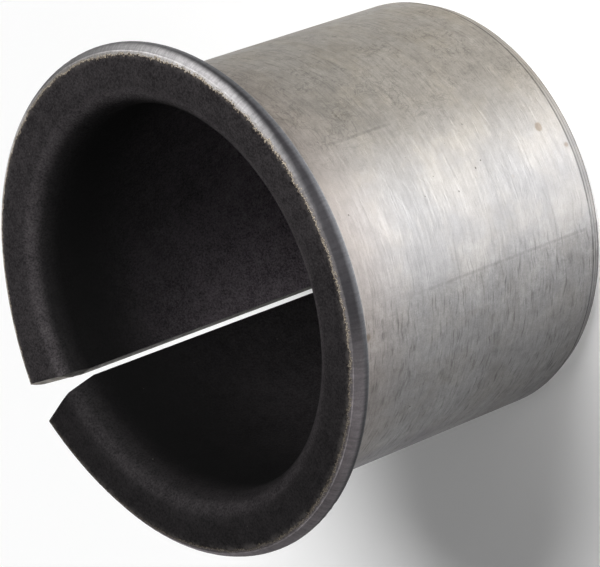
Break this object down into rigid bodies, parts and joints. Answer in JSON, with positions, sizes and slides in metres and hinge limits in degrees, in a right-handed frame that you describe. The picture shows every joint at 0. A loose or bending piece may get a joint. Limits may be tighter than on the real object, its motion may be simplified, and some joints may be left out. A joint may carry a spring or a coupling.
{
  "type": "flanged bearing bushing",
  "caption": "Wrapped plain bearing bushing with a split sleeve and a flared flange: steel backing, thin bronze interlayer and dark sliding liner inside and on the flange face.",
  "frame": {"origin": "on the bore's axis, in the plane of the plain end face, where the bushing stands", "axes": "+Z along the bore's axis from the plain end to the flange, +X from the axis through the middle of the split, +Y completes a right-handed frame"},
  "size_m": [0.054, 0.053, 0.0395],
  "materials": {
    "steel": "worn, tin-flashed, with fine brush lines round the sleeve",
    "bronze": "rough, sintered",
    "liner": "matte, mottled"
  },
  "bodies": {
    "root": {"steel_backing": "steel", "bronze_interlayer": "bronze", "bearing_liner": "liner"}
  },
  "joints": []
}
